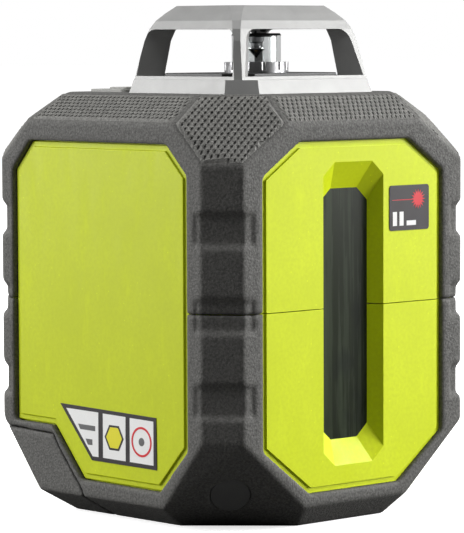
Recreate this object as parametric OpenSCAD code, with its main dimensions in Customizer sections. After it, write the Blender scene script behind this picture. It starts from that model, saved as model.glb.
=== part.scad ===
// Self-levelling laser level: eight-cornered case, glass cone tower under a metal cage,
// vertical line window, gimballed pendulum, lock slide, keypad and battery bay.
// Z is up, the base rests on z = 0, and the line window looks along -Y.

/* [Case] */
// half width of the case between its side faces
case_half_x = 55.6; // [54:0.1:58]
// half depth of the case between its front and rear faces
case_half_y = 57.2; // [56:0.1:59]
// height of the flat top deck
deck_z = 133.1; // [132:0.1:136]
// height of the joint between the upper and lower halves
seam_z = 67.3; // [64:0.1:70]
// thickness of the soft outer cover
cover_t = 3.0; // [2.6:0.1:3.2]
// thickness of the hard inner shell
shell_t = 2.4; // [2:0.1:2.8]
// depth of the grip grooves in the corner columns
groove_depth = 1.5; // [1:0.1:1.8]

/* [Cage] */
// height of the cage above the deck
cage_h = 27.4; // [26:0.1:30]
// distance from the case axis forward to the cage axis
cage_forward = 10.3; // [9:0.1:11]
// wall thickness of the cage
cage_wall = 3.0; // [2.4:0.1:3.4]

/* [Tower] */
// distance from the case axis forward to the optical axis
optic_forward = 12.8; // [12:0.1:13.4]
// outer diameter of the glass tube
tube_d = 15.6; // [15:0.1:16.4]
// outer diameter of the collar that holds the tube
collar_d = 20.4; // [19.6:0.1:21]

/* [Moving parts] */
// travel of the keypad buttons
button_travel = 0.8; // [0.5:0.1:1]
// travel of the lock slide
lock_travel = 5.0; // [4:0.5:5]
// height of the gimbal axes
pivot_z = 108; // [106:0.5:110]

/* [Hidden] */

$fn = 64;
slice = 0.02;
gap = 0.3;
fit_gap = 0.05;
cover_seam = 0.08;
over = 1;

// Case outline at each level: [z, x and y of the corner on the side face, x and y on the front face].
case_levels = [
    [0, case_half_x - 11.5, 25, 18.5, case_half_y - 7],
    [7, case_half_x, 29.4, 22.3, case_half_y],
    [28.4, case_half_x, case_half_y - 10.2, case_half_x - 7.9, case_half_y],
    [112.2, case_half_x, case_half_y - 10.2, case_half_x - 7.9, case_half_y],
    [124.4, case_half_x, 34.4, 29, case_half_y],
    [deck_z, case_half_x - 13.7, 31.2, 27.4, case_half_y - 10.5]
];
// How far each level moves up and in for one unit of wall thickness.
level_rise = [1, 0.55, 0.25, -0.3, -0.45, -1];
level_in = [0.6, 1, 1, 1, 1, 0.55];

rim_drop = 1.6;
panel_face = 0.9;
inner_y = case_half_y - cover_t - shell_t;
inner_x = case_half_x - cover_t - shell_t;

panel_half = 39.2;
panel_top = 118.8;
panel_foot = 10.7;
front_panel_points = [
    [-19.4, panel_foot], [19.4, panel_foot], [panel_half, 25.4], [panel_half, 108.5],
    [23.6, panel_top], [-23.6, panel_top], [-panel_half, 108.5], [-panel_half, 25.4]
];
rear_panel_points = [
    [-panel_half, 29.4], [panel_half, 29.4], [panel_half, 108.5],
    [23.6, panel_top], [-23.6, panel_top], [-panel_half, 108.5]
];
// Side panel outline in depth and height, front edge first.
side_panel_points = [
    [-27.6, 11.8], [9.3, 12], [23.5, 28], [42.1, 28.2], [42.1, 109],
    [33.6, 118.3], [-31, 118.3], [-40.3, 109], [-40.3, 25.6]
];
// Side view of the battery door.
door_points = [[60, -1], [60, 26.4], [23, 25.2], [20.2, 21], [9.2, 8.6], [6, -1]];

window_half = 13;
window_foot = 18.9;
window_top = 111.7;
glass_half = 10.3;
glass_foot = 26;
glass_top = 103.7;
window_depth = 4.6;

label_t = 0.2;
label_at = [24.65, 97];
label_half = [8.95, 7.1];
label_corner = 1;

groove_levels = [41.1, 67.0, 92.8];
groove_h = 11.4;
groove_slope = 1.5;
groove_end_depth = 0.8;
groove_side_run = 3.4;
groove_front_run = 5.2;

cage_top_z = deck_z + cage_h;
cage_y = -cage_forward;
optic_y = -optic_forward;
cage_half = [29.1, 25];
post_half = 1.9;
ring_h = 4.3;
window_cut_foot = deck_z + 5.3;
window_cut_top = deck_z + 20;
window_corner_r = 3;
cage_screw = [29.2, 12];

keypad_y = 32.5;
keypad_half = [24, 9.5];
keypad_top = 0.9;
button_size = [15, 10];
button_x = 12;
button_top = 1.5;
mark_depth = 0.4;
light_r = 1.45;
flange_drop = 2.6;
board_drop = 7;
board_t = 1.4;

cell_d = 14.2;
cell_l = 50;
cell_rows_y = [27.2, 42.4];
cell_rows_z = [13.6, 28.8];
tray_half = 30;
tray_front = cell_rows_y[0] - cell_d / 2 - 2.2;
tray_back = cell_rows_y[1] + cell_d / 2 + 1.4;
tray_foot = cell_rows_z[0] - cell_d / 2 - 0.6;
tray_top = cell_rows_z[1] + cell_d / 2 + 2.2;
tray_wall = 1.6;
latch_z = 16.6;
latch_travel = 2.4;

lock_slot_z = [51, 64.2];
lock_plate_z = [46, 65];

screw_at = [41.9, 44.9];
plug_tilt = 30;
plug_turn = 39.9;
plug_d = 12.6;
plug_back = 1.7;
plug_sunk = 0.7;
insert_r = 3.175;
insert_h = 9;

ring_r = 21;
pin_r = 1.5;
ear_x = 26;
post_at = [31, 20];
plate_z = 117.6;
yoke_z = 42;
yoke_t = 2;
pad_z = 31;

function unit(v) = v / norm(v);
function outward(a, b) = unit([b.y - a.y, a.x - b.x]);
function inset_point(a, b, c, e) =
    let (n1 = outward(a, b), n2 = outward(b, c)) b - e / (1 + n1 * n2) * (n1 + n2);
function inset(points, e) =
    let (n = len(points))
    [for (i = [0 : n - 1]) inset_point(points[(i + n - 1) % n], points[i], points[(i + 1) % n], e)];
function octagon(ax, ay, bx, by) =
    [[ax, -ay], [ax, ay], [bx, by], [-bx, by], [-ax, ay], [-ax, -ay], [-bx, -by], [bx, -by]];
function cut_box(hx, z0, z1, cx, cz) = [
    [-hx + cx, z0], [hx - cx, z0], [hx, z0 + cz], [hx, z1 - cz],
    [hx - cx, z1], [-hx + cx, z1], [-hx, z1 - cz], [-hx, z0 + cz]
];
function rounded(hx, hy, r) = [
    for (i = [0 : 3]) for (a = [0 : 15 : 90])
        [(i == 0 || i == 3 ? 1 : -1) * (hx - r) + r * cos(i * 90 + a),
         (i < 2 ? 1 : -1) * (hy - r) + r * sin(i * 90 + a)]
];

// ---------- shared shapes ----------

module case_plate(i, t) {
    level = case_levels[i];
    z = level[0] + t * level_rise[i];
    translate([0, 0, i < 3 ? z : z - slice])
        linear_extrude(slice)
            polygon(inset(octagon(level[1], level[2], level[3], level[4]), t * level_in[i]));
}

module case_solid(t = 0) {
    hull()
        for (i = [0 : len(case_levels) - 1])
            case_plate(i, t);
}

// A plate in the X-Z plane, from depth y0 to y1.
module facing_y(points, y0, y1) {
    translate([0, y1, 0])
        rotate([90, 0, 0])
            linear_extrude(y1 - y0)
                polygon(points);
}

// A plate in the Y-Z plane, from x0 to x1.
module facing_x(points, x0, x1) {
    translate([x0, 0, 0])
        rotate([90, 0, 90])
            linear_extrude(x1 - x0)
                polygon(points);
}

// Leaves a shape on the left side for -1 and mirrors it to the right for 1.
module on_side(side) {
    mirror([side > 0 ? 1 : 0, 0, 0])
        children();
}

// Everything above or below the seam, with half of the seam's width left out.
module upper_half(half_seam) {
    translate([-100, -100, seam_z + half_seam])
        cube([200, 200, 100]);
}

module lower_half(half_seam) {
    translate([-100, -100, -over])
        cube([200, 200, seam_z - half_seam + over]);
}

module door_region(e = 0) {
    facing_x(inset(door_points, -e), -70, 70);
}

// A groove cutter along one face, from plan point a to plan point b, outside on its right.
module face_groove(a, b, z, h, depth) {
    run = b - a;
    translate([a.x, a.y, z])
        rotate([0, 0, atan2(run.y, run.x)])
            rotate([90, 0, 90])
                linear_extrude(norm(run))
                    polygon([
                        [depth, groove_slope - h / 2],
                        [depth, h / 2 - groove_slope],
                        [-over, h / 2 + over],
                        [-over, -h / 2 - over]
                    ]);
}

// The wrap-round grip grooves of one corner column.
module corner_grooves() {
    level = case_levels[2];
    side = [level[1], level[2]];
    front = [level[3], level[4]];
    lap = 0.3 * unit(front - side);
    for (z = groove_levels) {
        face_groove(side - [0, groove_side_run], side + [0, 0.6], z, groove_h, groove_end_depth);
        face_groove(side - lap, front + lap, z, groove_h + 0.06, groove_depth);
        face_groove(front + [0.6, 0], front - [groove_front_run, 0], z, groove_h, groove_end_depth);
    }
}

module all_grooves() {
    for (sx = [0, 1])
        for (sy = [0, 1])
            mirror([sx, 0, 0])
                mirror([0, sy, 0])
                    corner_grooves();
}

// Everything the soft cover leaves open for the hard parts.
module cover_openings() {
    facing_y(front_panel_points, -case_half_y - over, -inner_y);
    facing_y(rear_panel_points, inner_y, case_half_y + over);
    for (side = [-1, 1])
        on_side(side)
            facing_x(side_panel_points, -case_half_x - over, -inner_x);
}

module plug_place() {
    for (side = [-1, 1])
        translate([side * screw_at.x, -screw_at.y, 11])
            rotate([0, 0, side * plug_turn])
                rotate([90 + plug_tilt, 0, 0])
                    children();
}

// Upright cylinders at the four case screws.
module at_screws(z0, z1, r) {
    for (sx = [-1, 1], sy = [-1, 1])
        translate([sx * screw_at.x, sy * screw_at.y, z0])
            cylinder(r = r, h = z1 - z0);
}

module cage_screw_holes() {
    for (sx = [-1, 1], sy = [-1, 1])
        translate([sx * cage_screw.x, cage_y + sy * cage_screw.y, deck_z - 8])
            cylinder(r = 1.05, h = 11.6);
}

module tower_hole(r) {
    translate([0, optic_y, deck_z - 20])
        cylinder(r = r, h = 40);
}

module plinth_plan(e = 0) {
    translate([0, cage_y])
        polygon(inset(octagon(25, 13.3, 17.8, 20.5), -e));
}

module keypad_plan(e = 0) {
    translate([0, keypad_y])
        polygon(rounded(keypad_half.x + e, keypad_half.y + e, 3));
}

// Outline of the line window, grown by e.
function glass_points(e) = cut_box(glass_half + e, glass_foot - e, glass_top + e, 4.6, 4);

module window_recess() {
    face = -case_half_y + panel_face;
    mouth = cut_box(window_half + 0.8, window_foot - 2.3, window_top + 2.3, 5, 4.4);
    hull() {
        facing_y(mouth, face - over, face - over + slice);
        facing_y(glass_points(0), face + window_depth - slice, face + window_depth);
    }
    facing_y(glass_points(0), face, -inner_y + over);
}

// ---------- case ----------

module upper_cover() {
    color([0.22, 0.22, 0.21])
    difference() {
        intersection() {
            case_solid();
            upper_half(cover_seam / 2);
        }
        case_solid(cover_t);
        cover_openings();
        all_grooves();
        cage_screw_holes();
        translate([0, 0, deck_z - cover_t - over])
            linear_extrude(10) {
                plinth_plan(0.2);
                keypad_plan(0.2);
            }
    }
}

module lower_cover() {
    color([0.22, 0.22, 0.21])
    difference() {
        intersection() {
            case_solid();
            lower_half(cover_seam / 2);
        }
        case_solid(cover_t);
        cover_openings();
        all_grooves();
        door_region(gap);
        at_screws(5, 30, 2.5);
        plug_place()
            translate([0, 0, -plug_back])
                cylinder(d = plug_d + 0.2, h = 6);
        translate([0, optic_y, -over])
            cylinder(d = 18.4, h = 10);
    }
}

// Lime panel face: a low ledge all round and a raised middle.
module raised_panel_y(points) {
    facing_y(inset(points, 0.12), -case_half_y + rim_drop, -inner_y - 1);
    facing_y(inset(points, 1.9), -case_half_y + panel_face, -inner_y - 1);
}

module shell_body() {
    difference() {
        union() {
            case_solid(cover_t + fit_gap);
            raised_panel_y(front_panel_points);
            rotate([0, 0, 180])
                raised_panel_y(rear_panel_points);
        }
        case_solid(cover_t + shell_t);
        window_recess();
    }
}

// The slot in the right wall that the lock slide's neck runs in.
module lock_slot() {
    translate([inner_x - 5, optic_y - 3.4, lock_slot_z[0]])
        cube([20, 6.8, lock_slot_z[1] - lock_slot_z[0]]);
}

// Screw bosses, each with a web that ties it to the corner of the shell.
module screw_bosses(z0, z1) {
    at_screws(z0, z1, 4.2);
    for (sx = [0, 1], sy = [0, 1])
        mirror([sx, 0, 0])
            mirror([0, sy, 0])
                translate([screw_at.x, screw_at.y, z0])
                    rotate([0, 0, 37.8])
                        translate([0, -1.2, 0])
                            cube([7.6, 2.4, z1 - z0]);
}

module upper_shell() {
    color([0.78, 0.86, 0.16])
    difference() {
        union() {
            intersection() {
                shell_body();
                upper_half(gap / 2);
            }
            screw_bosses(seam_z + gap / 2, 86);
        }
        at_screws(seam_z - over, 84, 1.45);
        cage_screw_holes();
        translate([0, 0, deck_z - cover_t - shell_t - over])
            linear_extrude(10) {
                plinth_plan(-3);
                keypad_plan(0.2);
            }
    }
}

module lower_shell() {
    color([0.78, 0.86, 0.16])
    difference() {
        union() {
            intersection() {
                shell_body();
                lower_half(gap / 2);
            }
            screw_bosses(44, seam_z - gap / 2);
        }
        at_screws(43, seam_z + over, 1.8);
        at_screws(5, 50, 2.5);
        door_region(gap);
        lock_slot();
        translate([0, optic_y, -over])
            cylinder(d = 12.2, h = 12);
    }
}

// A side panel with a low ledge, seen on the left side.
module side_panel_solid() {
    facing_x(inset(side_panel_points, 0.35), -case_half_x + rim_drop, -case_half_x + cover_t);
    facing_x(inset(side_panel_points, 2.1), -case_half_x + panel_face, -case_half_x + cover_t);
}

module left_panel() {
    color([0.74, 0.82, 0.15])
        side_panel_solid();
}

module right_panel() {
    color([0.74, 0.82, 0.15])
    difference() {
        on_side(1)
            side_panel_solid();
        lock_slot();
        translate([case_half_x - 2.2, optic_y - 6.2, lock_plate_z[0] - 0.6])
            cube([5, 12.4, lock_plate_z[1] - lock_plate_z[0] + lock_travel + 1.2]);
    }
}

module corner_plugs() {
    color([0.16, 0.16, 0.16])
        plug_place()
            translate([0, 0, 0.05 - plug_back])
                cylinder(d = plug_d - 0.4, h = plug_back - plug_sunk);
}

module case_screws() {
    color([0.6, 0.6, 0.62])
        difference() {
            union() {
                at_screws(47.6, 49.95, 2.3);
                at_screws(47.6, 77.6, 1.4);
            }
            at_screws(47, 49, 1.1);
        }
}

module tripod_insert() {
    color([0.78, 0.62, 0.32])
    translate([0, optic_y, 0.4])
        difference() {
            union() {
                cylinder(r = 9, h = 2.4);
                cylinder(r = 6, h = insert_h + 1.6);
            }
            translate([0, 0, -over])
                cylinder(r = insert_r, h = insert_h + over);
        }
}

// ---------- window and labels ----------

module window_glass() {
    color([0.16, 0.2, 0.16, 0.5])
        facing_y(glass_points(3), -inner_y + 0.05, -inner_y + 2.05);
}

module window_gasket() {
    color([0.1, 0.1, 0.1])
        difference() {
            facing_y(glass_points(4.4), -inner_y + 0.05, -inner_y + 3);
            facing_y(glass_points(3.05), -inner_y - over, -inner_y + 2.1);
            facing_y(glass_points(0.6), -inner_y, -inner_y + 4);
        }
}

module front_label() {
    color([0.08, 0.08, 0.08])
        translate([label_at.x, 0, label_at.y])
            facing_y(rounded(label_half.x, label_half.y, label_corner),
                -case_half_y + panel_face - label_t, -case_half_y + panel_face - 0.01);
}

module side_label() {
    color([0.85, 0.85, 0.85])
        facing_x([[-25.8, 18.4], [4.8, 18.6], [20, 35.4], [-25.6, 34.5]],
            -case_half_x + panel_face - label_t, -case_half_x + panel_face - 0.01);
}

// ---------- battery bay ----------

module battery_door() {
    color([0.2, 0.2, 0.19])
    difference() {
        intersection() {
            case_solid();
            door_region();
        }
        intersection() {
            case_solid(2.6);
            door_region(4);
        }
        translate([-8.2, case_half_y - 1.9, latch_z - latch_travel - 0.2])
            cube([16.4, 5, 7 + latch_travel + 0.4]);
    }
}

module door_latch() {
    color([0.12, 0.12, 0.12])
        difference() {
            translate([-7.8, case_half_y - 1.8, latch_z])
                cube([15.6, 1.6, 7]);
            for (i = [0 : 3])
                translate([-5, case_half_y - 0.8, latch_z + 1.4 + i * 1.3])
                    cube([10, 1, 0.6]);
        }
}

module battery_tray() {
    color([0.1, 0.1, 0.1])
    difference() {
        intersection() {
            case_solid(3);
            union() {
                translate([-tray_half, tray_front, tray_foot])
                    cube([2 * tray_half, tray_back - tray_front, tray_top - tray_foot]);
                translate([0.05 - inner_x, tray_front, tray_top - 4])
                    cube([2 * inner_x - 0.1, 8, 2.4]);
            }
        }
        translate([tray_wall - tray_half, tray_front + tray_wall, tray_foot - over])
            cube([2 * (tray_half - tray_wall), 40, tray_top - tray_foot - tray_wall + over]);
        translate([-22, tray_front + 5, tray_top - 5])
            cube([44, 22, 12]);
    }
}

module battery_contacts() {
    color([0.75, 0.72, 0.62])
        for (side = [-1, 1], y = cell_rows_y, z = cell_rows_z) {
            translate([side * (tray_half - 2.05) - 0.35, y - 4, z - 4])
                cube([0.7, 8, 8]);
            translate([side * 25.1, y, z])
                rotate([0, side * 90, 0])
                    difference() {
                        cylinder(r = 3.2, h = 2.6);
                        translate([0, 0, -over])
                            cylinder(r = 2.4, h = 5);
                    }
        }
}

module cells() {
    color([0.25, 0.25, 0.27])
        for (y = cell_rows_y, z = cell_rows_z)
            translate([-cell_l / 2, y, z])
                rotate([0, 90, 0]) {
                    cylinder(d = cell_d, h = cell_l - 1.4);
                    cylinder(d = 5.4, h = cell_l);
                }
}

// ---------- cage and glass tower ----------

module cage_slab(z, hx, hy, c) {
    translate([0, cage_y, z])
        linear_extrude(slice)
            polygon(octagon(hx, hy - c, hx - c, hy));
}

// Skin of the cage above its ring, drawn in by e, with its corners cut back by a further amount.
module cage_dome(e, corner) {
    hull() {
        cage_slab(e > 0 ? deck_z - over : deck_z + ring_h, cage_half.x - e, cage_half.y - e, 1.8 + corner);
        cage_slab(deck_z + 16.4, 27.2 - e, 22.2 - e, 1.8 + corner);
        cage_slab(deck_z + 20, 26.1 - e, 21.1 - e, 1.8 + corner);
        cage_slab(deck_z + 22.6 - e * 0.25, 24.8 - e, 19.8 - e, 2 + corner);
        cage_slab(deck_z + 25.1 - e * 0.5, 22.7 - e, 17.7 - e, 2.4 + corner);
        cage_slab(cage_top_z - slice - e * 0.9, 20.6 - e, 15.6 - e, 3.3 + corner);
    }
}

module cage_ring() {
    hull() {
        cage_slab(deck_z, 32.2, 29.8, 7.6);
        cage_slab(deck_z + ring_h - slice, 31, 28.4, 7);
    }
}

// Half width of a cage window at a distance from the cage axis, between posts on the diagonals.
function window_half_at(distance, rise) = distance * rise - post_half * norm([1, rise]);

// Outline of a cage window, its top corners round.
function window_arch(half) = concat(
    [[-half, window_cut_foot], [half, window_cut_foot]],
    [for (a = [0 : 15 : 90]) [half, window_cut_top] + window_corner_r * [cos(a) - 1, sin(a) - 1]],
    [for (a = [90 : 15 : 180]) [-half, window_cut_top] + window_corner_r * [cos(a) + 1, sin(a) - 1]]
);

// A cage window that widens outwards along +X.
module cage_window(rise) {
    hull() {
        facing_x(window_arch(window_half_at(12, rise)), 12, 12 + slice);
        facing_x(window_arch(window_half_at(60, rise)), 60, 60 + slice);
    }
}

module cage() {
    color([0.72, 0.72, 0.7])
    difference() {
        union() {
            cage_ring();
            cage_dome(0, 0);
        }
        cage_dome(cage_wall, 5.6);
        for (turn = [0 : 3])
            translate([0, cage_y, 0])
                rotate([0, 0, turn * 90])
                    cage_window(turn % 2 == 0 ? cage_half.y / cage_half.x : cage_half.x / cage_half.y);
        cage_screw_holes();
    }
}

module cage_screws() {
    color([0.55, 0.55, 0.57])
        for (sx = [-1, 1], sy = [-1, 1])
            translate([sx * cage_screw.x, cage_y + sy * cage_screw.y, deck_z - 7.5])
                union() {
                    cylinder(r = 2.2, h = 2);
                    cylinder(r = 1, h = 10.6);
                }
}

module roof_bumper() {
    color([0.12, 0.12, 0.12])
        translate([3, optic_y, cage_top_z - 8.3])
            cylinder(r1 = 0.8, r2 = 3.2, h = 5.55);
}

module tower_plinth() {
    color([0.14, 0.14, 0.14])
    difference() {
        union() {
            translate([0, 0, deck_z - cover_t])
                linear_extrude(cover_t + 6.2)
                    plinth_plan();
            translate([0, optic_y, deck_z - 7])
                cylinder(r = 12, h = 5);
        }
        translate([0, optic_y, deck_z + 2.9])
            cylinder(d = tube_d + 0.1, h = 10);
        tower_hole(6);
    }
}

module tower_collar() {
    color([0.6, 0.6, 0.6])
    translate([0, optic_y, deck_z + 6.2])
        difference() {
            cylinder(d = collar_d, h = 3.4);
            translate([0, 0, -over])
                cylinder(d = tube_d + 0.1, h = 6);
            for (i = [0 : 11])
                rotate([0, 0, i * 30])
                    translate([collar_d / 2 + 0.35, 0, 0.8])
                        cylinder(r = 0.8, h = 3.6, $fn = 24);
        }
}

module tower_tube() {
    color([0.9, 0.95, 0.95, 0.3])
    translate([0, optic_y, deck_z + 3.4])
        difference() {
            cylinder(d = tube_d, h = 14.5);
            translate([0, 0, -over])
                cylinder(d = tube_d - 2.4, h = 20);
        }
}

module tower_seal() {
    color([0.05, 0.05, 0.05])
    translate([0, optic_y, deck_z + 2.9])
        difference() {
            cylinder(d = tube_d, h = 0.45);
            translate([0, 0, -over])
                cylinder(d = tube_d - 2.6, h = 3);
        }
}

module tower_cap() {
    color([0.05, 0.05, 0.05])
    translate([0, optic_y, deck_z + 17.95]) {
        cylinder(d1 = tube_d + 0.4, d2 = tube_d - 0.6, h = 0.75);
        translate([0, 0, -0.4])
            cylinder(d = tube_d - 2.5, h = 0.5);
        translate([-0.4, 0, 0.6])
            cylinder(d = 0.9, h = 1, $fn = 24);
    }
}

module cone_holder() {
    color([0.1, 0.1, 0.1])
    translate([0, optic_y, deck_z + 13.9])
        rotate_extrude()
            polygon([[0, 0.25], [1.6, 0.25], [1.6, 1.6], [2.2, 1.9], [2.6, 3.6], [0, 3.6]]);
}

module cone_mirror() {
    color([0.4, 0.42, 0.44])
    translate([0, optic_y, deck_z + 10.7])
        rotate_extrude()
            polygon([[0, 0], [2.8, 3.1], [2.8, 3.4], [0, 3.4]]);
}

// ---------- keypad ----------

module button_plan(e = 0) {
    polygon(rounded(button_size.x / 2 + e, button_size.y / 2 + e, 2.4));
}

module keypad_bezel() {
    color([0.3, 0.3, 0.29])
    difference() {
        translate([0, 0, deck_z - 5])
            linear_extrude(5 + keypad_top)
                keypad_plan();
        translate([0, 0, deck_z - 6])
            linear_extrude(5.2)
                keypad_plan(-1.6);
        for (side = [-1, 1])
            translate([side * button_x, keypad_y, deck_z - 7])
                linear_extrude(12)
                    button_plan(gap);
        translate([0, keypad_y, deck_z - 7])
            cylinder(r = light_r + 0.1, h = 12);
    }
}

module button_shape() {
    translate([0, 0, deck_z - flange_drop + 0.2])
        linear_extrude(flange_drop - 0.2 + button_top)
            button_plan();
    translate([0, 0, deck_z - flange_drop])
        linear_extrude(0.9)
            button_plan(1.1);
}

module button_level() {
    color([0.42, 0.42, 0.4])
        translate([-button_x, keypad_y, 0])
            difference() {
                button_shape();
                for (a = [0 : 2])
                    translate([-4 + a * 4 - 0.4, -0.4, deck_z + button_top - mark_depth])
                        cube([0.8, 0.8, 2]);
            }
}

module button_plumb() {
    color([0.42, 0.42, 0.4])
        translate([button_x, keypad_y, 0])
            difference() {
                button_shape();
                translate([-0.4, -3, deck_z + button_top - mark_depth])
                    cube([0.8, 6, 2]);
            }
}

module status_light() {
    color([0.2, 0.8, 0.3, 0.7])
        translate([0, keypad_y, deck_z - 4.4])
            cylinder(r = light_r, h = 4.4 + keypad_top + 0.1);
}

module keypad_board() {
    color([0.05, 0.25, 0.12])
        translate([-22, keypad_y - 7.5, deck_z - board_drop])
            cube([44, 15, board_t]);
}

module key_switches() {
    color([0.15, 0.15, 0.15])
        for (side = [-1, 1])
            translate([side * button_x, keypad_y, deck_z - board_drop + board_t + fit_gap]) {
                translate([-3, -3, 0])
                    cube([6, 6, 1.6]);
                cylinder(r = 1.6, h = board_drop - board_t - flange_drop - button_travel - 0.2);
            }
}

// ---------- gimbal and pendulum ----------

module chassis() {
    color([0.5, 0.51, 0.53])
    translate([0, optic_y, 0])
        difference() {
            union() {
                translate([-36, -24, plate_z])
                    cube([72, 48, 3]);
                for (side = [-1, 1]) {
                    translate([side * ear_x - 2, -5, pivot_z - 5])
                        cube([4, 10, plate_z - pivot_z + 6]);
                    for (y = [-1, 1])
                        translate([side * post_at.x, y * post_at.y, yoke_z + yoke_t + 0.05])
                            cylinder(r = 2.8, h = deck_z - cover_t - shell_t - yoke_z - yoke_t - 0.2);
                }
            }
            translate([0, 0, plate_z - 8])
                cylinder(r = 12.5, h = 12);
            for (side = [-1, 1])
                translate([side * ear_x - 3, 0, pivot_z])
                    rotate([0, 90, 0])
                        cylinder(r = pin_r + fit_gap, h = 6);
        }
}

module gimbal_ring() {
    color([0.6, 0.6, 0.62])
    translate([0, optic_y, pivot_z])
        difference() {
            translate([0, 0, -3])
                cylinder(r = ring_r, h = 6);
            translate([0, 0, -4])
                cylinder(r = ring_r - 4, h = 8);
            rotate([90, 0, 0])
                cylinder(r = pin_r + fit_gap, h = 60, center = true);
            rotate([0, 90, 0])
                cylinder(r = pin_r, h = 60, center = true);
        }
}

module gimbal_pins() {
    color([0.75, 0.75, 0.76])
        for (side = [-1, 1])
            translate([side * (ring_r + 2.5) - 5.5, optic_y, pivot_z])
                rotate([0, 90, 0])
                    cylinder(r = pin_r, h = 11);
}

module pendulum_frame() {
    color([0.65, 0.55, 0.3])
    translate([0, optic_y, 0])
    difference() {
        union() {
            translate([0, 0, pivot_z - 4])
                cylinder(r = 12, h = 8);
            translate([-9, -9, 78])
                cube([18, 18, pivot_z - 80]);
            translate([-5, -5, 55])
                cube([10, 10, 24]);
            cylinder(r = 2, h = 56);
        }
        translate([-50, -50, -1])
            cube([100, 100, 41]);
        translate([0, 0, 92])
            cylinder(r = 5.05, h = 40);
        translate([0, 10, 86])
            rotate([90, 0, 0])
                cylinder(r = 5.55, h = 30);
        rotate([90, 0, 0])
            translate([0, pivot_z, 0])
                cylinder(r = pin_r, h = 60, center = true);
    }
}

module pendulum_pins() {
    color([0.75, 0.75, 0.76])
        for (side = [-1, 1])
            translate([0, optic_y + side * 15.2 + 5.4, pivot_z])
                rotate([90, 0, 0])
                    cylinder(r = pin_r, h = 10.8);
}

module level_laser() {
    color([0.72, 0.6, 0.3])
    translate([0, optic_y, 92])
        difference() {
            cylinder(r = 5, h = 27);
            translate([0, 0, 22])
                cylinder(r = 3.5, h = 8);
        }
}

module level_lens() {
    color([0.7, 0.85, 0.9, 0.5])
        translate([0, optic_y, 114.2])
            cylinder(r = 3.45, h = 2);
}

module plumb_laser() {
    color([0.72, 0.6, 0.3])
    translate([0, optic_y + 9, 86])
        rotate([90, 0, 0])
            difference() {
                cylinder(r = 5.5, h = 30);
                translate([0, 0, 25])
                    cylinder(r = 4, h = 8);
            }
}

module plumb_lens() {
    color([0.7, 0.85, 0.9, 0.5])
        translate([-3.2, optic_y - 18.4, 86])
            rotate([0, 90, 0])
                cylinder(r = 1.6, h = 6.4);
}

module damper_plate() {
    color([0.72, 0.42, 0.26])
    translate([0, optic_y, 52])
        difference() {
            cylinder(r = 19, h = 3);
            translate([0, 0, -over])
                cylinder(r = 2.05, h = 6);
        }
}

module magnet_yoke() {
    color([0.45, 0.45, 0.47])
    translate([0, optic_y, yoke_z])
        difference() {
            union() {
                translate([-35, -24, 0])
                    cube([70, 48, yoke_t]);
                translate([0.1 - inner_x, 11, 0])
                    cube([2 * inner_x - 0.2, 7, yoke_t]);
            }
            translate([0, 0, -over])
                cylinder(r = 12, h = 6);
        }
}

module damper_magnets() {
    color([0.7, 0.7, 0.72])
        for (i = [0 : 7])
            translate([0, optic_y, yoke_z + yoke_t + 0.05])
                rotate([0, 0, i * 45])
                    translate([15.6, 0, 0])
                        cylinder(r = 2.6, h = 3.4);
}

// The slide's finger plate, its neck through the panel slot and its stem down to the pad.
module lock_slide() {
    color([0.1, 0.1, 0.1])
    difference() {
        union() {
            translate([case_half_x - 1.9, optic_y - 5.6, lock_plate_z[0]])
                cube([1.7, 11.2, lock_plate_z[1] - lock_plate_z[0]]);
            translate([inner_x - 4, optic_y - 3, lock_slot_z[0] + 0.6])
                cube([case_half_x - inner_x + 3, 6, 7]);
            translate([inner_x - 4, optic_y - 3, pad_z])
                cube([3, 6, lock_slot_z[0] + 7 - pad_z]);
        }
        for (i = [0 : 5])
            translate([case_half_x - 0.7, optic_y - 4, lock_plate_z[0] + 2 + i * 2.2])
                cube([2, 8, 1]);
    }
}

module lock_pad() {
    color([0.35, 0.35, 0.37])
        union() {
            translate([0, optic_y, pad_z])
                difference() {
                    cylinder(r = 11.4, h = 6);
                    translate([0, 0, 3.9])
                        cylinder(r = 10.2, h = 3);
                }
            translate([10, optic_y - 3, pad_z])
                cube([inner_x - 14.05, 6, 3]);
        }
}

// ---------- electronics ----------

module main_board() {
    color([0.05, 0.25, 0.12])
        translate([-32, 21, 46])
            cube([64, 1.6, 66]);
}

module board_parts() {
    color([0.12, 0.12, 0.13])
        union() {
            translate([-8, 22.65, 74])
                cube([14, 1.8, 14]);
            translate([-24, 22.65, 92])
                cube([9, 2.2, 9]);
            for (i = [0 : 4])
                translate([16, 22.65, 56 + i * 9])
                    cube([5, 1.4, 4]);
        }
}

upper_cover();
lower_cover();
upper_shell();
lower_shell();
left_panel();
right_panel();
battery_door();
door_latch();
battery_tray();
battery_contacts();
cells();
window_glass();
window_gasket();
front_label();
side_label();
corner_plugs();
case_screws();
tripod_insert();
cage();
cage_screws();
roof_bumper();
tower_plinth();
tower_collar();
tower_tube();
tower_seal();
tower_cap();
cone_holder();
cone_mirror();
keypad_bezel();
button_level();
button_plumb();
status_light();
keypad_board();
key_switches();
chassis();
gimbal_ring();
gimbal_pins();
pendulum_frame();
pendulum_pins();
level_laser();
level_lens();
plumb_laser();
plumb_lens();
damper_plate();
magnet_yoke();
damper_magnets();
lock_slide();
lock_pad();
main_board();
board_parts();
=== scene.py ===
"""Looks of the self-levelling laser level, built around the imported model.

Everything is in metres in the model's own frame: the base on z = 0, the line window towards -Y,
the lock slide on +X.
"""
import math

import bmesh
import bpy
from mathutils import Matrix, Vector
from mathutils.bvhtree import BVHTree


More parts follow.
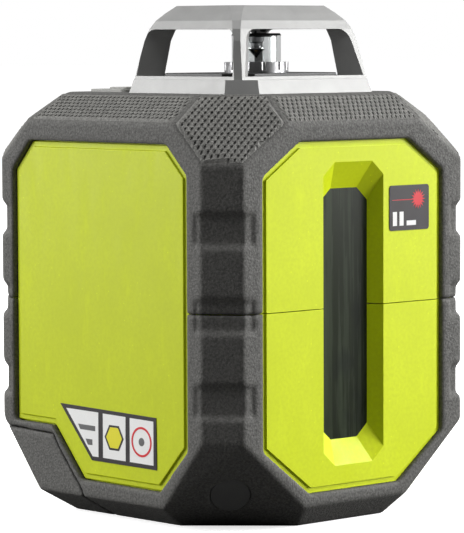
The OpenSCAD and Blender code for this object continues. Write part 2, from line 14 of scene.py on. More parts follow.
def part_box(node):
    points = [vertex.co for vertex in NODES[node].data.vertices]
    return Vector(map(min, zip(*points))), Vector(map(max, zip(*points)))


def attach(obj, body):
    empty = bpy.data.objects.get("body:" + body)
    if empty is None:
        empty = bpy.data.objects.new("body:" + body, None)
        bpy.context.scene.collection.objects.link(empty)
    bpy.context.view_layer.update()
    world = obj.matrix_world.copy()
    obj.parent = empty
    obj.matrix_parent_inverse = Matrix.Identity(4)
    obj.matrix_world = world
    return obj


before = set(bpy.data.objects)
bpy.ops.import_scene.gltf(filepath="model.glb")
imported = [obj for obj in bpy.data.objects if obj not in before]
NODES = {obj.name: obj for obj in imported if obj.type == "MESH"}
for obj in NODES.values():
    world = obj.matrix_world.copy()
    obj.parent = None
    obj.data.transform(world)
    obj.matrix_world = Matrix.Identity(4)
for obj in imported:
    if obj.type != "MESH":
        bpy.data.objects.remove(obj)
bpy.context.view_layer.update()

MM = 0.001

# ---------------------------------------------------------------- model sizes used below

# Corners of the case above its columns, in the quarter where x and y are both positive.
COLUMN_TOP = [Vector((55.6, 47.0, 112.2)) * MM, Vector((47.7, 57.2, 112.2)) * MM]
BEVEL_FOOT = [Vector((55.6, 34.4, 124.4)) * MM, Vector((29.0, 57.2, 124.4)) * MM]
DECK_EDGE = [Vector((41.9, 31.2, 133.1)) * MM, Vector((27.4, 46.7, 133.1)) * MM]

# ---------------------------------------------------------------- camera

AZIMUTH = math.radians(-43.0)
ELEVATION = math.radians(4.197)
ROLL = math.radians(-0.2194)
DISTANCE = 1.00955
AIM = Vector((1.13, 0.14, 76.71)) * MM
SENSOR = 36.0
LENS = 211.13
NEAR_CLIP = 0.05
FAR_CLIP = 50.0

BACK = Vector((
    math.sin(AZIMUTH) * math.cos(ELEVATION),
    -math.cos(AZIMUTH) * math.cos(ELEVATION),
    math.sin(ELEVATION),
))


def make_camera():
    """The camera at the viewing angle of the reference view."""
    level_right = Vector((math.cos(AZIMUTH), math.sin(AZIMUTH), 0))
    level_up = BACK.cross(level_right)
    right = math.cos(ROLL) * level_right + math.sin(ROLL) * level_up
    up = -math.sin(ROLL) * level_right + math.cos(ROLL) * level_up
    data = bpy.data.cameras.new("camera")
    data.sensor_width = SENSOR
    data.lens = LENS
    data.clip_start = NEAR_CLIP
    data.clip_end = FAR_CLIP
    camera = bpy.data.objects.new("camera", data)
    bpy.context.scene.collection.objects.link(camera)
    place = Matrix((right, up, BACK)).transposed().to_4x4()
    place.translation = AIM + DISTANCE * BACK
    camera.matrix_world = place
    bpy.context.scene.camera = camera


# ---------------------------------------------------------------- node helpers

# Cosine between a face and its rounded neighbourhood where an edge starts, and where it is full.
EDGE_STARTS = 0.995
EDGE_FULL = 0.88


class Net:
    """A material's node tree, with short calls to add and join nodes."""

    def __init__(self, name):
        self.material = bpy.data.materials.new(name)
        self.material.use_nodes = True
        self.tree = self.material.node_tree
        self.shader = self.tree.nodes["Principled BSDF"]
        self.place = self.add("ShaderNodeTexCoord").outputs["Object"]

    def add(self, kind, settings=None, **inputs):
        node = self.tree.nodes.new(kind)
        for key, value in (settings or {}).items():
            setattr(node, key, value)
        for key, value in inputs.items():
            self.put(node, key.replace("_", " "), value)
        return node

    def put(self, node, socket, value):
        target = node.inputs[socket]
        if isinstance(value, bpy.types.NodeSocket):
            self.tree.links.new(value, target)
        else:
            target.default_value = value

    def noise(self, size, detail=2.0, stretch=(1, 1, 1), rough=0.5):
        """Noise whose features are about size metres across, stretched along the axes."""
        spread = self.add("ShaderNodeVectorMath", {"operation": "DIVIDE"})
        self.put(spread, 0, self.place)
        spread.inputs[1].default_value = stretch
        found = self.add("ShaderNodeTexNoise", Vector=spread.outputs[0], Scale=1 / size, Detail=detail,
                         Roughness=rough)
        return found.outputs["Fac"]

    def remap(self, value, low, high, to_low, to_high):
        node = self.add("ShaderNodeMapRange", {"clamp": True}, Value=value)
        node.inputs["From Min"].default_value = low
        node.inputs["From Max"].default_value = high
        node.inputs["To Min"].default_value = to_low
        node.inputs["To Max"].default_value = to_high
        return node.outputs["Result"]

    def mix(self, factor, first, second):
        node = self.add("ShaderNodeMix", {"data_type": "RGBA"})
        self.put(node, 0, factor)
        self.put(node, 6, first)
        self.put(node, 7, second)
        return node.outputs[2]

    def product(self, first, second):
        node = self.add("ShaderNodeMath", {"operation": "MULTIPLY"})
        self.put(node, 0, first)
        self.put(node, 1, second)
        return node.outputs[0]

    def edges(self, radius):
        """1 on edges within radius metres, 0 on flat ground."""
        soft = self.add("ShaderNodeBevel", {"samples": 4}, Radius=radius)
        true_normal = self.add("ShaderNodeNewGeometry").outputs["Normal"]
        dot = self.add("ShaderNodeVectorMath", {"operation": "DOT_PRODUCT"})
        self.put(dot, 0, soft.outputs[0])
        self.put(dot, 1, true_normal)
        return self.remap(dot.outputs["Value"], EDGE_STARTS, EDGE_FULL, 0.0, 1.0)

    def bump(self, heights):
        """Stacks bumps given as (height, depth in metres, strength)."""
        normal = None
        for height, depth, strength in heights:
            node = self.add("ShaderNodeBump", Height=height, Distance=depth, Strength=strength)
            if normal is not None:
                self.put(node, "Normal", normal)
            normal = node.outputs["Normal"]
        self.put(self.shader, "Normal", normal)


def grey(value):
    return (value, value, value, 1)


def tint(colour, by):
    return tuple(min(1.0, c * by) for c in colour[:3]) + (1,)


def moulded(name, colour, roughness, grain=0.45 * MM, depth=0.03 * MM, mottle=0.12, wear=0.5, coat=0.0):
    """Moulded plastic: fine grain, slow colour drift, edges rubbed lighter."""
    net = Net(name)
    drift = net.noise(9 * MM, 3)
    speck = net.noise(grain, 3, rough=0.65)
    shade = net.mix(net.remap(drift, 0.3, 0.7, 0, 1), tint(colour, 1 - mottle), tint(colour, 1 + mottle))
    shade = net.mix(net.remap(speck, 0.35, 0.7, 0, 0.35), shade, tint(colour, 1 - 2.2 * mottle))
    scuffs = net.remap(net.noise(2.5 * MM, 4, rough=0.7), 0.42, 0.62, 0.15, 1)
    worn = net.product(net.edges(0.5 * MM), scuffs)
    shade = net.mix(net.product(worn, wear), shade, tint(colour, 1.9))
    net.put(net.shader, "Base Color", shade)
    net.put(net.shader, "Roughness", net.remap(drift, 0.25, 0.75, roughness - 0.05, roughness + 0.06))
    net.bump([(net.noise(4 * grain, 2), depth, 0.5), (speck, depth, 0.9)])
    net.shader.inputs["Specular IOR Level"].default_value = 0.45
    net.shader.inputs["Coat Weight"].default_value = coat
    return net.material


def soft_cover(name, base):
    """Soft-touch overmould: dark warm grey with a sandy spark-eroded grain."""
    net = Net(name)
    drift = net.noise(14 * MM, 3)
    grain = net.noise(0.75 * MM, 4, rough=0.7)
    crumbs = net.add("ShaderNodeTexVoronoi", Vector=net.place, Scale=1 / (0.8 * MM)).outputs["Distance"]
    shade = net.mix(net.remap(grain, 0.40, 0.60, 0, 0.85), tint(base, 1.15), tint(base, 0.55))
    shade = net.mix(net.remap(crumbs, 0.22, 0.05, 0, 0.7), shade, tint(base, 2.1))
    scuffs = net.remap(net.noise(3 * MM, 4, rough=0.7), 0.42, 0.6, 0.2, 1)
    shade = net.mix(net.product(net.edges(0.8 * MM), net.product(scuffs, 0.5)), shade, tint(base, 2.1))
    net.put(net.shader, "Base Color", shade)
    net.put(net.shader, "Roughness", net.remap(grain, 0.3, 0.7, 0.62, 0.82))
    net.bump([(drift, 0.05 * MM, 0.3), (grain, 0.16 * MM, 0.9), (crumbs, 0.10 * MM, 0.8)])
    net.shader.inputs["Specular IOR Level"].default_value = 0.4
    return net.material


def lime_plastic(name, colour):
    """Satin lime moulding with a whisper of texture, small rubs and specks."""
    net = Net(name)
    drift = net.noise(22 * MM, 2)
    orange_peel = net.noise(1.1 * MM, 3)
    fine = net.noise(0.3 * MM, 2)
    rubs = net.noise(5 * MM, 4, stretch=(1, 1, 4), rough=0.7)
    shade = net.mix(net.remap(drift, 0.3, 0.7, 0, 1), tint(colour, 0.96), tint(colour, 1.04))
    shade = net.mix(net.remap(orange_peel, 0.35, 0.65, 0, 0.6), shade, tint(colour, 0.9))
    shade = net.mix(net.remap(rubs, 0.56, 0.72, 0, 0.4), shade, tint(colour, 1.15))
    specks = net.add("ShaderNodeTexVoronoi", Vector=net.place, Scale=1 / (3.1 * MM)).outputs["Distance"]
    shade = net.mix(net.remap(specks, 0.09, 0.04, 0, 0.5), shade, tint(colour, 1.5))
    shade = net.mix(net.product(net.edges(0.35 * MM), 0.45), shade, tint(colour, 1.3))
    net.put(net.shader, "Base Color", shade)
    net.put(net.shader, "Roughness", net.remap(rubs, 0.3, 0.7, 0.36, 0.5))
    net.bump([(orange_peel, 0.035 * MM, 0.5), (fine, 0.015 * MM, 0.6)])
    net.shader.inputs["Specular IOR Level"].default_value = 0.18
    return net.material


def satin_metal(name, colour, roughness, grain=0.22 * MM, depth=0.012 * MM, metallic=1.0, wear=0.3):
    """Blasted or brushed metal: fine noise in height and roughness, brighter edges."""
    net = Net(name)
    fine = net.noise(grain, 3, rough=0.6)
    drift = net.noise(7 * MM, 3)
    shade = net.mix(net.remap(drift, 0.3, 0.7, 0, 1), tint(colour, 0.93), tint(colour, 1.05))
    shade = net.mix(net.product(net.edges(0.3 * MM), wear), shade, tint(colour, 1.35))
    net.put(net.shader, "Base Color", shade)
    net.put(net.shader, "Roughness", net.remap(fine, 0.3, 0.7, roughness - 0.06, roughness + 0.08))
    net.bump([(fine, depth, 0.8)])
    net.shader.inputs["Metallic"].default_value = metallic
    return net.material


def tinted_window():
    """Dark green-black pane, faintly streaked from top to bottom."""
    net = Net("tinted_window")
    streaks = net.noise(2.4 * MM, 4, stretch=(1, 1, 24), rough=0.6)
    blots = net.noise(7 * MM, 3, stretch=(1, 1, 2.2))
    shade = net.mix(net.remap(streaks, 0.45, 0.7, 0, 1), (0.015, 0.019, 0.011, 1), (0.032, 0.044, 0.024, 1))
    shade = net.mix(net.remap(blots, 0.5, 0.68, 0, 0.6), shade, (0.007, 0.009, 0.007, 1))
    net.put(net.shader, "Base Color", shade)
    net.put(net.shader, "Roughness", net.remap(streaks, 0.3, 0.7, 0.2, 0.34))
    net.bump([(streaks, 0.02 * MM, 0.2)])
    net.shader.inputs["Specular IOR Level"].default_value = 0.1
    return net.material


def clear_glass():
    """Clear glass with slight smears."""
    net = Net("clear_glass")
    smears = net.noise(3 * MM, 3)
    net.put(net.shader, "Base Color", (0.97, 0.99, 0.99, 1))
    net.put(net.shader, "Roughness", net.remap(smears, 0.4, 0.7, 0.0, 0.05))
    net.bump([(smears, 0.02 * MM, 0.2)])
    net.shader.inputs["Transmission Weight"].default_value = 1.0
    net.shader.inputs["IOR"].default_value = 1.47
    return net.material


def printed(name, colour, roughness=0.4):
    """Printed film: flat ink with a faint dot screen and light scuffs."""
    net = Net(name)
    screen = net.noise(0.25 * MM, 1)
    scuff = net.noise(4 * MM, 4, rough=0.7)
    shade = net.mix(net.remap(screen, 0.35, 0.65, 0, 0.3), colour, tint(colour, 0.85))
    shade = net.mix(net.remap(scuff, 0.58, 0.72, 0, 0.2), shade, tint(colour, 1.3))
    net.put(net.shader, "Base Color", shade)
    net.put(net.shader, "Roughness", net.remap(scuff, 0.3, 0.7, roughness - 0.08, roughness + 0.1))
    net.bump([(screen, 0.004 * MM, 0.4)])
    net.shader.inputs["Specular IOR Level"].default_value = 0.25
    return net.material


LIME = (0.60, 0.70, 0.010, 1)
M = {
    "cover": soft_cover("soft_cover", (0.098, 0.096, 0.090, 1)),
    # The grip wears a lighter copy of the soft cover: painted light on the upward-facing top bevels.
    "grip": soft_cover("grip_cover_painted_lit_top", (0.150, 0.148, 0.138, 1)),
    "lime": lime_plastic("lime_shell", LIME),
    "lime_side": lime_plastic("lime_panel", (0.52, 0.60, 0.008, 1)),
    "pad": moulded("keypad_plastic", (0.30, 0.30, 0.28, 1), 0.5, grain=0.4 * MM, wear=0.3),
    "black": moulded("black_plastic", (0.016, 0.016, 0.016, 1), 0.42, wear=0.35),
    "rubber": moulded("seal_rubber", (0.02, 0.02, 0.02, 1), 0.75, grain=0.3 * MM, wear=0.15),
    "plug": moulded("plug_rubber", (0.10, 0.10, 0.097, 1), 0.5, grain=0.4 * MM, wear=0.6),
    "button": moulded("button_rubber", (0.34, 0.34, 0.32, 1), 0.6, grain=0.35 * MM, wear=0.4),
    "chip": moulded("chip_epoxy", (0.02, 0.02, 0.022, 1), 0.5, grain=0.2 * MM, wear=0.2),
    "board": moulded("solder_mask", (0.012, 0.1, 0.04, 1), 0.3, grain=0.8 * MM, mottle=0.2, wear=0.3,
                     coat=0.3),
    "cell": moulded("cell_sleeve", (0.16, 0.16, 0.19, 1), 0.3, grain=0.9 * MM, wear=0.3, coat=0.2),
    "light": moulded("light_lens", (0.03, 0.4, 0.08, 1), 0.2, grain=0.6 * MM, mottle=0.05, wear=0.2,
                     coat=0.5),
    "window": tinted_window(),
    "glass": clear_glass(),
    "cage": satin_metal("cage_metal", (0.27, 0.27, 0.265, 1), 0.5, metallic=0.3),
    "polished": satin_metal("polished_metal", (0.72, 0.72, 0.73, 1), 0.12, depth=0.003 * MM),
    "steel": satin_metal("machined_steel", (0.5, 0.5, 0.51, 1), 0.32),
    "plated": satin_metal("plated_spring", (0.62, 0.6, 0.52, 1), 0.28),
    "brass": satin_metal("turned_brass", (0.62, 0.44, 0.17, 1), 0.28),
    "copper": satin_metal("turned_copper", (0.7, 0.33, 0.2, 1), 0.3),
    "alloy": satin_metal("cast_alloy", (0.45, 0.46, 0.47, 1), 0.5, grain=0.5 * MM, depth=0.03 * MM),
    "ink_dark": printed("ink_dark", (0.022, 0.018, 0.020, 1)),
    "ink_white": printed("ink_white", (0.80, 0.80, 0.79, 1)),
    "ink_red": printed("ink_red", (0.62, 0.02, 0.03, 1)),
    "ink_yellow": printed("ink_yellow", (0.72, 0.66, 0.02, 1)),
    "ink_grey": printed("ink_grey", (0.12, 0.12, 0.12, 1)),
}

# Which material each node wears, and how far its edges are rounded, in millimetres. 0 rounds nothing:
# glass and the lock slide stay sharp, and the soft mouldings are softened in their own way.
DRESS = {
    "upper_cover": ("cover", 0), "lower_cover": ("cover", 0), "battery_door": ("cover", 0),
    "upper_shell": ("lime", 0.25), "lower_shell": ("lime", 0.25),
    "left_panel": ("lime_side", 0.3), "right_panel": ("lime_side", 0.3),
    "door_latch": ("black", 0.2), "battery_tray": ("black", 0.2), "battery_contacts": ("plated", 0.1),
    "cells": ("cell", 0.5), "window_glass": ("window", 0.1), "window_gasket": ("rubber", 0.2),
    "front_label": ("ink_dark", 0.03), "side_label": ("ink_dark", 0.03), "corner_plugs": ("plug", 0.3),
    "case_screws": ("steel", 0.15), "tripod_insert": ("brass", 0.2), "cage": ("cage", 0.25),
    "cage_screws": ("steel", 0.15), "roof_bumper": ("rubber", 0.2), "tower_plinth": ("black", 0.3),
    "tower_collar": ("steel", 0.12), "tower_tube": ("glass", 0), "tower_seal": ("rubber", 0.05),
    "tower_cap": ("black", 0.1), "cone_holder": ("steel", 0.1), "cone_mirror": ("polished", 0.05),
    "keypad_bezel": ("pad", 0.25), "button_level": ("button", 0.4), "button_plumb": ("button", 0.4),
    "status_light": ("light", 0.3), "keypad_board": ("board", 0.1), "key_switches": ("chip", 0.2),
    "chassis": ("alloy", 0.3), "gimbal_ring": ("alloy", 0.3), "gimbal_pins": ("steel", 0.15),
    "pendulum_frame": ("brass", 0.3), "pendulum_pins": ("steel", 0.15), "level_laser": ("brass", 0.2),
    "level_lens": ("glass", 0), "plumb_laser": ("brass", 0.2), "plumb_lens": ("glass", 0),
    "damper_plate": ("copper", 0.2), "magnet_yoke": ("steel", 0.2), "damper_magnets": ("polished", 0.2),
    "lock_slide": ("black", 0), "lock_pad": ("alloy", 0.25), "main_board": ("board", 0.1),
    "board_parts": ("chip", 0.15),
}

# From this rounding in millimetres upwards, an edge gets three steps and not two.
BROAD_EDGE = 0.25
WELD_DISTANCE = 0.002 * MM
FLAT_ANGLE = math.radians(0.4)
SHARP_ANGLE = math.radians(24)

SOFT_MOULDINGS = ("upper_cover", "lower_cover", "battery_door")
SKIN_VOXEL = 0.7 * MM
MELT_FACTOR = 0.5
MELT_STEPS = 3


def round_edges(piece, width, segments):
    """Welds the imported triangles, joins the flat ones and rounds the sharp edges."""
    weld = piece.modifiers.new("weld", "WELD")
    weld.merge_threshold = WELD_DISTANCE
    join = piece.modifiers.new("join_flats", "DECIMATE")
    join.decimate_type = "DISSOLVE"
    join.angle_limit = FLAT_ANGLE
    bevel = piece.modifiers.new("round_edges", "BEVEL")
    bevel.width = width
    bevel.segments = segments
    bevel.limit_method = "ANGLE"
    bevel.angle_limit = SHARP_ANGLE
    bevel.miter_outer = "MITER_ARC"
    bevel.use_clamp_overlap = True
    normals = piece.modifiers.new("even_normals", "WEIGHTED_NORMAL")
    normals.keep_sharp = True


def soften(piece):
    """Rebuilds a thick soft moulding as an even skin and melts its edges."""
    even = piece.modifiers.new("even_skin", "REMESH")
    even.mode = "VOXEL"
    even.voxel_size = SKIN_VOXEL
    even.use_smooth_shade = True
    melt = piece.modifiers.new("melt_edges", "SMOOTH")
    melt.factor = MELT_FACTOR
    melt.iterations = MELT_STEPS


def dress_nodes():
    """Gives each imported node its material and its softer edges."""
    for name, (finish, rounding) in DRESS.items():
        piece = NODES[name]
        piece.data.materials.clear()
        piece.data.materials.append(M[finish])
        if name in SOFT_MOULDINGS:
            soften(piece)
        elif rounding:
            round_edges(piece, rounding * MM, 3 if rounding >= BROAD_EDGE else 2)


# ---------------------------------------------------------------- pieces built here

def new_piece(name, mesh, material, body="case"):
    """Links a flat-shaded mesh as a shown piece that rides on a body."""
    piece = bpy.data.objects.new(name, mesh)
    bpy.context.scene.collection.objects.link(piece)
    mesh.materials.append(material)
    for face in mesh.polygons:
        face.use_smooth = False
    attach(piece, body)
    return piece


def mesh_from(name, points, faces):
    mesh = bpy.data.meshes.new(name)
    mesh.from_pydata([tuple(p) for p in points], [], faces)
    mesh.update()
    return mesh


# Grip texture: a thin skin of small leaning pits on the bevels round the top.

PIT_PITCH_ALONG = 2.0 * MM
PIT_PITCH_UP = 1.75 * MM
PIT_HALF_LONG = 0.74 * MM
PIT_HALF_WIDE = 0.46 * MM
PIT_LEAN = math.radians(28)
GRIP_HEIGHT = 0.5 * MM
GRIP_SINK = 0.16 * MM
GRIP_BORDER = 0.7 * MM
# A pit is cut only where its middle is this far inside the border.
PIT_CLEAR = 2 * GRIP_BORDER
# Height of a pit's rim, as a share of the skin's full height.
PIT_RIM = 0.72
# The rays that find the cover start this far above it.
RAY_START = 12 * MM
# Points that are the same to a micron are one point.
PER_MICRON = 1e6
MERGE_DISTANCE = 0.02 * MM


def mirrored(point, sx, sy):
    return Vector((point.x * sx, point.y * sy, point.z))


def grip_fields():
    """The eight outlines that carry the grip: four bevel bands and four corner facets."""
    fields = []
    for s in (-1, 1):
        fields.append([mirrored(BEVEL_FOOT[0], s, -1), mirrored(BEVEL_FOOT[0], s, 1),
                       mirrored(DECK_EDGE[0], s, 1), mirrored(DECK_EDGE[0], s, -1)])
        fields.append([mirrored(BEVEL_FOOT[1], -1, s), mirrored(BEVEL_FOOT[1], 1, s),
                       mirrored(DECK_EDGE[1], 1, s), mirrored(DECK_EDGE[1], -1, s)])
        for t in (-1, 1):
            fields.append([mirrored(p, s, t) for p in (
                COLUMN_TOP[0], BEVEL_FOOT[0], DECK_EDGE[0], DECK_EDGE[1], BEVEL_FOOT[1], COLUMN_TOP[1])])
    return fields


def field_axes(outline):
    """Centre, level direction, uphill direction and outward normal of an outline."""
    centre = sum(outline, Vector()) / len(outline)
    normal = Vector()
    for a, b in zip(outline, outline[1:] + outline[:1]):
        normal += (a - centre).cross(b - centre)
    normal.normalize()
    if normal.dot(Vector((centre.x, centre.y, 0))) < 0:
        normal.negate()
    along = Vector((0, 0, 1)).cross(normal).normalized()
    return centre, along, normal.cross(along), normal


def depth_inside(point, corners):
    """How far a plan point is inside a convex outline, and the nearest point inside."""
    middle = sum(corners, Vector((0, 0))) / len(corners)
    least = math.inf
    held = point.copy()
    for a, b in zip(corners, corners[1:] + corners[:1]):
        side = Vector((a.y - b.y, b.x - a.x)).normalized()
        if side.dot(middle - a) < 0:
            side.negate()
        least = min(least, side.dot(point - a))
        held += side * max(0.0, GRIP_BORDER - side.dot(held - a))
    return least, held


class GripSkin:
    """One perforated sheet per field, its corners shared between neighbouring cells."""

    def __init__(self, outline, skin):
        self.centre, self.along, self.uphill, self.normal = field_axes(outline)
        self.plan = [self.flat(p) for p in outline]
        self.skin = skin
        self.points = []
        self.found = {}

    def flat(self, place):
        """A place in space as a point of the outline's own plan."""
        return Vector(((place - self.centre).dot(self.along), (place - self.centre).dot(self.uphill)))

    def corner(self, spot, share=1.0):
        """Index of the sheet's point over a plan point, lower near the border."""
        depth, held = depth_inside(spot, self.plan)
        key = (round(held.x * PER_MICRON), round(held.y * PER_MICRON))
        if key in self.found:
            return self.found[key]
        above = self.centre + self.along * held.x + self.uphill * held.y + self.normal * RAY_START
        hit = self.skin.ray_cast(above, -self.normal)[0]
        rise = min(1.0, max(0.0, depth - GRIP_BORDER) / GRIP_BORDER) * share
        self.points.append(hit + self.normal * (GRIP_HEIGHT * rise - GRIP_SINK * (1 - rise)))
        self.found[key] = len(self.points) - 1
        return self.found[key]

    def cell(self, middle, lean):
        """A brick with a leaning pit through it, or a plain brick at the border."""
        bricks = [Vector((a * PIT_PITCH_ALONG, b * PIT_PITCH_UP)) / 2
                  for a, b in ((-1, -1), (0, -1), (1, -1), (1, 1), (0, 1), (-1, 1))]
        outer = [self.corner(middle + b) for b in bricks]
        depth = depth_inside(middle, self.plan)[0]
        if depth < PIT_CLEAR:
            return [outer] if len(set(outer)) > 4 else []
        inner = []
        for b in bricks:
            angle = math.atan2(b.y, b.x) - lean
            pit = Vector((PIT_HALF_WIDE * math.cos(angle), PIT_HALF_LONG * math.sin(angle)))
            turned = Vector((pit.x * math.cos(lean) - pit.y * math.sin(lean),
                             pit.x * math.sin(lean) + pit.y * math.cos(lean)))
            inner.append(self.corner(middle + turned, PIT_RIM))
        return [(outer[i], outer[(i + 1) % 6], inner[(i + 1) % 6], inner[i]) for i in range(6)]


def grip_skins():
    """One mesh with the sheets of all the fields, laid on the upper cover."""
    source = NODES["upper_cover"].data
    skin = BVHTree.FromPolygons([v.co for v in source.vertices], [tuple(f.vertices) for f in source.polygons])
    points, faces = [], []
    for outline in grip_fields():
        sheet = GripSkin(outline, skin)
        reach = max(p.length for p in sheet.plan)
        rows = int(reach / PIT_PITCH_UP) + 1
        columns = int(reach / PIT_PITCH_ALONG) + 1
        first = len(points)
        for row in range(-rows, rows + 1):
            for column in range(-columns, columns + 1):
                middle = Vector(((column + 0.5 * (row % 2)) * PIT_PITCH_ALONG, row * PIT_PITCH_UP))
                if depth_inside(middle, sheet.plan)[0] < 0:
                    continue
                faces.extend([tuple(first + i for i in face) for face in sheet.cell(middle, -PIT_LEAN)])
        points.extend(sheet.points)
    mesh = mesh_from("grip_skin", points, faces)
    tidy = bmesh.new()
    tidy.from_mesh(mesh)
    bmesh.ops.dissolve_degenerate(tidy, edges=tidy.edges, dist=MERGE_DISTANCE)
    bmesh.ops.recalc_face_normals(tidy, faces=tidy.faces)
    tidy.to_mesh(mesh)
    tidy.free()
    return mesh


def add_grip():
    """The grip sheets, made solid."""
    piece = new_piece("grip_skin", grip_skins(), M["grip"])
    thicken = piece.modifiers.new("thicken", "SOLIDIFY")
    thicken.thickness = GRIP_HEIGHT + GRIP_SINK
    thicken.offset = -1.0


# Thin printed areas on the labels.

INK_T = 0.05 * MM


def ring_points(centre, radius, count):
    """Corners of a regular outline round a centre."""
    turns = [2 * math.pi * i / count for i in range(count)]
    return [(centre[0] + radius * math.cos(t), centre[1] + radius * math.sin(t)) for t in turns]


def burst_points(centre, inner, outer, rays):
    """Corners of a star with pointed rays."""
    found = []
    for i in range(2 * rays):
        radius = outer if i % 2 == 0 else inner
        angle = math.pi * i / rays
        found.append((centre[0] + radius * math.cos(angle), centre[1] + radius * math.sin(angle)))
    return found


def bar(left, right, foot, top):
    """Corners of a plain upright bar."""
    return [(left, foot), (right, foot), (right, top), (left, top)]


def ink(name, outlines, to_space, out, material, holes=()):
    """Flat ink shapes raised off a label: outlines are in the label's own plane."""
    shape = bmesh.new()
    for index, outline in enumerate(outlines):
        low = [shape.verts.new(to_space(a, b)) for a, b in outline]
        high = [shape.verts.new(to_space(a, b) + out * INK_T) for a, b in outline]
        hole = holes[index] if index < len(holes) else None
        count = len(outline)
        for i in range(count):
            j = (i + 1) % count
            shape.faces.new((low[i], low[j], high[j], high[i]))
        if hole is None:
            shape.faces.new(high)
            shape.faces.new(list(reversed(low)))
            continue
        inner_low = [shape.verts.new(to_space(a, b)) for a, b in hole]
        inner_high = [shape.verts.new(to_space(a, b) + out * INK_T) for a, b in hole]
        for i in range(count):
            j = (i + 1) % count
            shape.faces.new((inner_low[j], inner_low[i], inner_high[i], inner_high[j]))
            shape.faces.new((high[i], high[j], inner_high[j], inner_high[i]))
            shape.faces.new((low[j], low[i], inner_low[i], inner_low[j]))
    bmesh.ops.recalc_face_normals(shape, faces=shape.faces)
    mesh = bpy.data.meshes.new(name)
    shape.to_mesh(mesh)
    shape.free()
    new_piece(name, mesh, material)


def front_label_marks():
    """Red burst with a thin beam, and three plain bars below it. Places are in millimetres."""
    face_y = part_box("front_label")[0].y

    def to_space(x, z):
        return Vector((x * MM, face_y, z * MM))

    out = Vector((0, -1, 0))
    burst = burst_points((28.6, 99.6), inner=1.8, outer=3.2, rays=16)
    beam = [(16.9, 99.42), (25.8, 99.36), (25.8, 99.64), (16.9, 99.58)]
    ink("label_burst", [burst, beam], to_space, out, M["ink_red"])
    foot = 91.4
    bars = [bar(17.2, 19.0, foot, 95.8), bar(20.2, 22.0, foot, 95.8), bar(23.4, 27.6, foot, 92.9)]
    ink("label_bars", bars, to_space, out, M["ink_white"])


def side_label_marks():
    """Three pale fields: two bars, a hexagon, and a ring round a dot. Places are in millimetres."""
    face_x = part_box("side_label")[0].x

    def to_space(y, z):
        return Vector((face_x, y * MM, z * MM))

    out = Vector((-1, 0, 0))
    first = [(17.0, 34.1), (1.5, 33.9), (1.5, 19.9), (4.3, 19.9)]
    second = [(-0.7, 33.8), (-11.4, 33.6), (-11.4, 19.8), (-0.7, 19.9)]
    third = [(-13.4, 33.5), (-24.4, 33.3), (-24.4, 19.7), (-13.4, 19.8)]
    ink("label_fields", [first, second, third], to_space, out, M["ink_white"])
    lift = out * INK_T

    def raised(y, z):
        return to_space(y, z) + lift

    bars = [[(11.2, 29.6), (3.0, 29.5), (3.0, 27.9), (10.2, 28.0)],
            [(7.6, 25.2), (4.4, 25.2), (4.4, 23.4), (6.6, 23.4)]]
    ink("label_field_bars", bars, raised, out, M["ink_grey"])
    hexagon_at = (-6.05, 26.6)
    ink("label_hexagon_edge", [ring_points(hexagon_at, 4.5, 6)], raised, out, M["ink_dark"],
        holes=[ring_points(hexagon_at, 3.75, 6)])
    ink("label_hexagon", [ring_points(hexagon_at, 3.72, 6)], raised, out, M["ink_yellow"])
    ring_at = (-18.9, 26.5)
    ink("label_ring", [ring_points(ring_at, 4.7, 40)], raised, out, M["ink_red"],
        holes=[ring_points(ring_at, 4.0, 40)])
    ink("label_dot", [ring_points(ring_at, 1.3, 24)], raised, out, M["ink_grey"])


def build_pieces():
    add_grip()
    front_label_marks()
    side_label_marks()


# ---------------------------------------------------------------- floor, light and world

FLOOR_HALF = 12.0

# Greys of the floor and its glow. The camera sees it near white; it throws back little light.
FLOOR_SHADE = 0.12
FLOOR_SEEN = 0.9
FLOOR_GLOW = 0.72

# The world's strength away from the camera's side and on it, and the band where the one fades to the other.
WORLD_FAR = 0.55
WORLD_NEAR = 0.04
FADE_STARTS = -0.1
FADE_ENDS = 0.8

# Name, direction from the aim, distance, size across and power of each light.
LIGHTS = (
    ("left_behind", (-0.70, 0.72, 0.30), 1.3, 1.0, 19.5),
    ("right_front", (0.79, -0.62, 0.34), 1.3, 1.0, 29.0),
    ("overhead", (-0.12, -0.10, 1.0), 1.4, 1.2, 9.5),
)


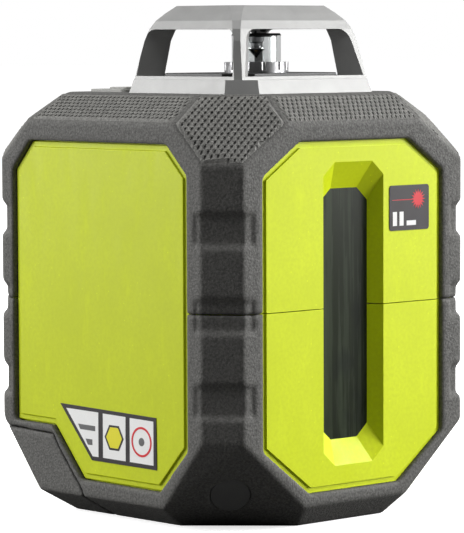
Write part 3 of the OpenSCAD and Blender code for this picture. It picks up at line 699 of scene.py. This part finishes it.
def make_floor():
    """Pale floor that looks white to the camera only."""
    mesh = bpy.data.meshes.new("floor")
    size = FLOOR_HALF
    corners = [(-size, -size, 0), (size, -size, 0), (size, size, 0), (-size, size, 0)]
    mesh.from_pydata(corners, [], [(0, 1, 2, 3)])
    floor = bpy.data.objects.new("floor", mesh)
    bpy.context.scene.collection.objects.link(floor)
    net = Net("floor_paint")
    seen = net.add("ShaderNodeLightPath").outputs["Is Camera Ray"]
    net.put(net.shader, "Base Color", net.mix(seen, grey(FLOOR_SHADE), grey(FLOOR_SEEN)))
    net.put(net.shader, "Emission Color", grey(1.0))
    net.put(net.shader, "Emission Strength", net.product(seen, FLOOR_GLOW))
    net.put(net.shader, "Roughness", 1.0)
    net.put(net.shader, "Specular IOR Level", 0.0)
    mesh.materials.append(net.material)


def area_light(name, direction, distance, size, power):
    """Round soft light that faces the point the camera aims at."""
    data = bpy.data.lights.new(name, "AREA")
    data.shape = "DISK"
    data.size = size
    data.energy = power
    light = bpy.data.objects.new(name, data)
    bpy.context.scene.collection.objects.link(light)
    away = Vector(direction).normalized()
    light.location = AIM + away * distance
    light.rotation_euler = away.to_track_quat("Z", "Y").to_euler()


def make_world():
    """White to the camera. As light it is dim on the camera's side, so what faces the camera is shaded."""
    world = bpy.data.worlds.new("studio")
    bpy.context.scene.world = world
    world.use_nodes = True
    tree = world.node_tree
    background = tree.nodes["Background"]
    direction = tree.nodes.new("ShaderNodeTexCoord").outputs["Generated"]
    toward = tree.nodes.new("ShaderNodeVectorMath")
    toward.operation = "DOT_PRODUCT"
    tree.links.new(direction, toward.inputs[0])
    toward.inputs[1].default_value = (BACK.x, BACK.y, 0)
    spread = tree.nodes.new("ShaderNodeMapRange")
    spread.interpolation_type = "SMOOTHSTEP"
    spread.inputs["From Min"].default_value = FADE_STARTS
    spread.inputs["From Max"].default_value = FADE_ENDS
    spread.inputs["To Min"].default_value = WORLD_FAR
    spread.inputs["To Max"].default_value = WORLD_NEAR
    tree.links.new(toward.outputs["Value"], spread.inputs["Value"])
    seen = tree.nodes.new("ShaderNodeLightPath").outputs["Is Camera Ray"]
    whiten = tree.nodes.new("ShaderNodeMix")
    whiten.data_type = "RGBA"
    tree.links.new(seen, whiten.inputs[0])
    tree.links.new(spread.outputs["Result"], whiten.inputs[6])
    whiten.inputs[7].default_value = grey(1.0)
    tree.links.new(whiten.outputs[2], background.inputs["Color"])
    background.inputs["Strength"].default_value = 1.0


def make_lights():
    for light in LIGHTS:
        area_light(*light)


bpy.context.scene.view_settings.view_transform = "Standard"
make_camera()
make_world()
make_lights()
make_floor()
dress_nodes()
build_pieces()
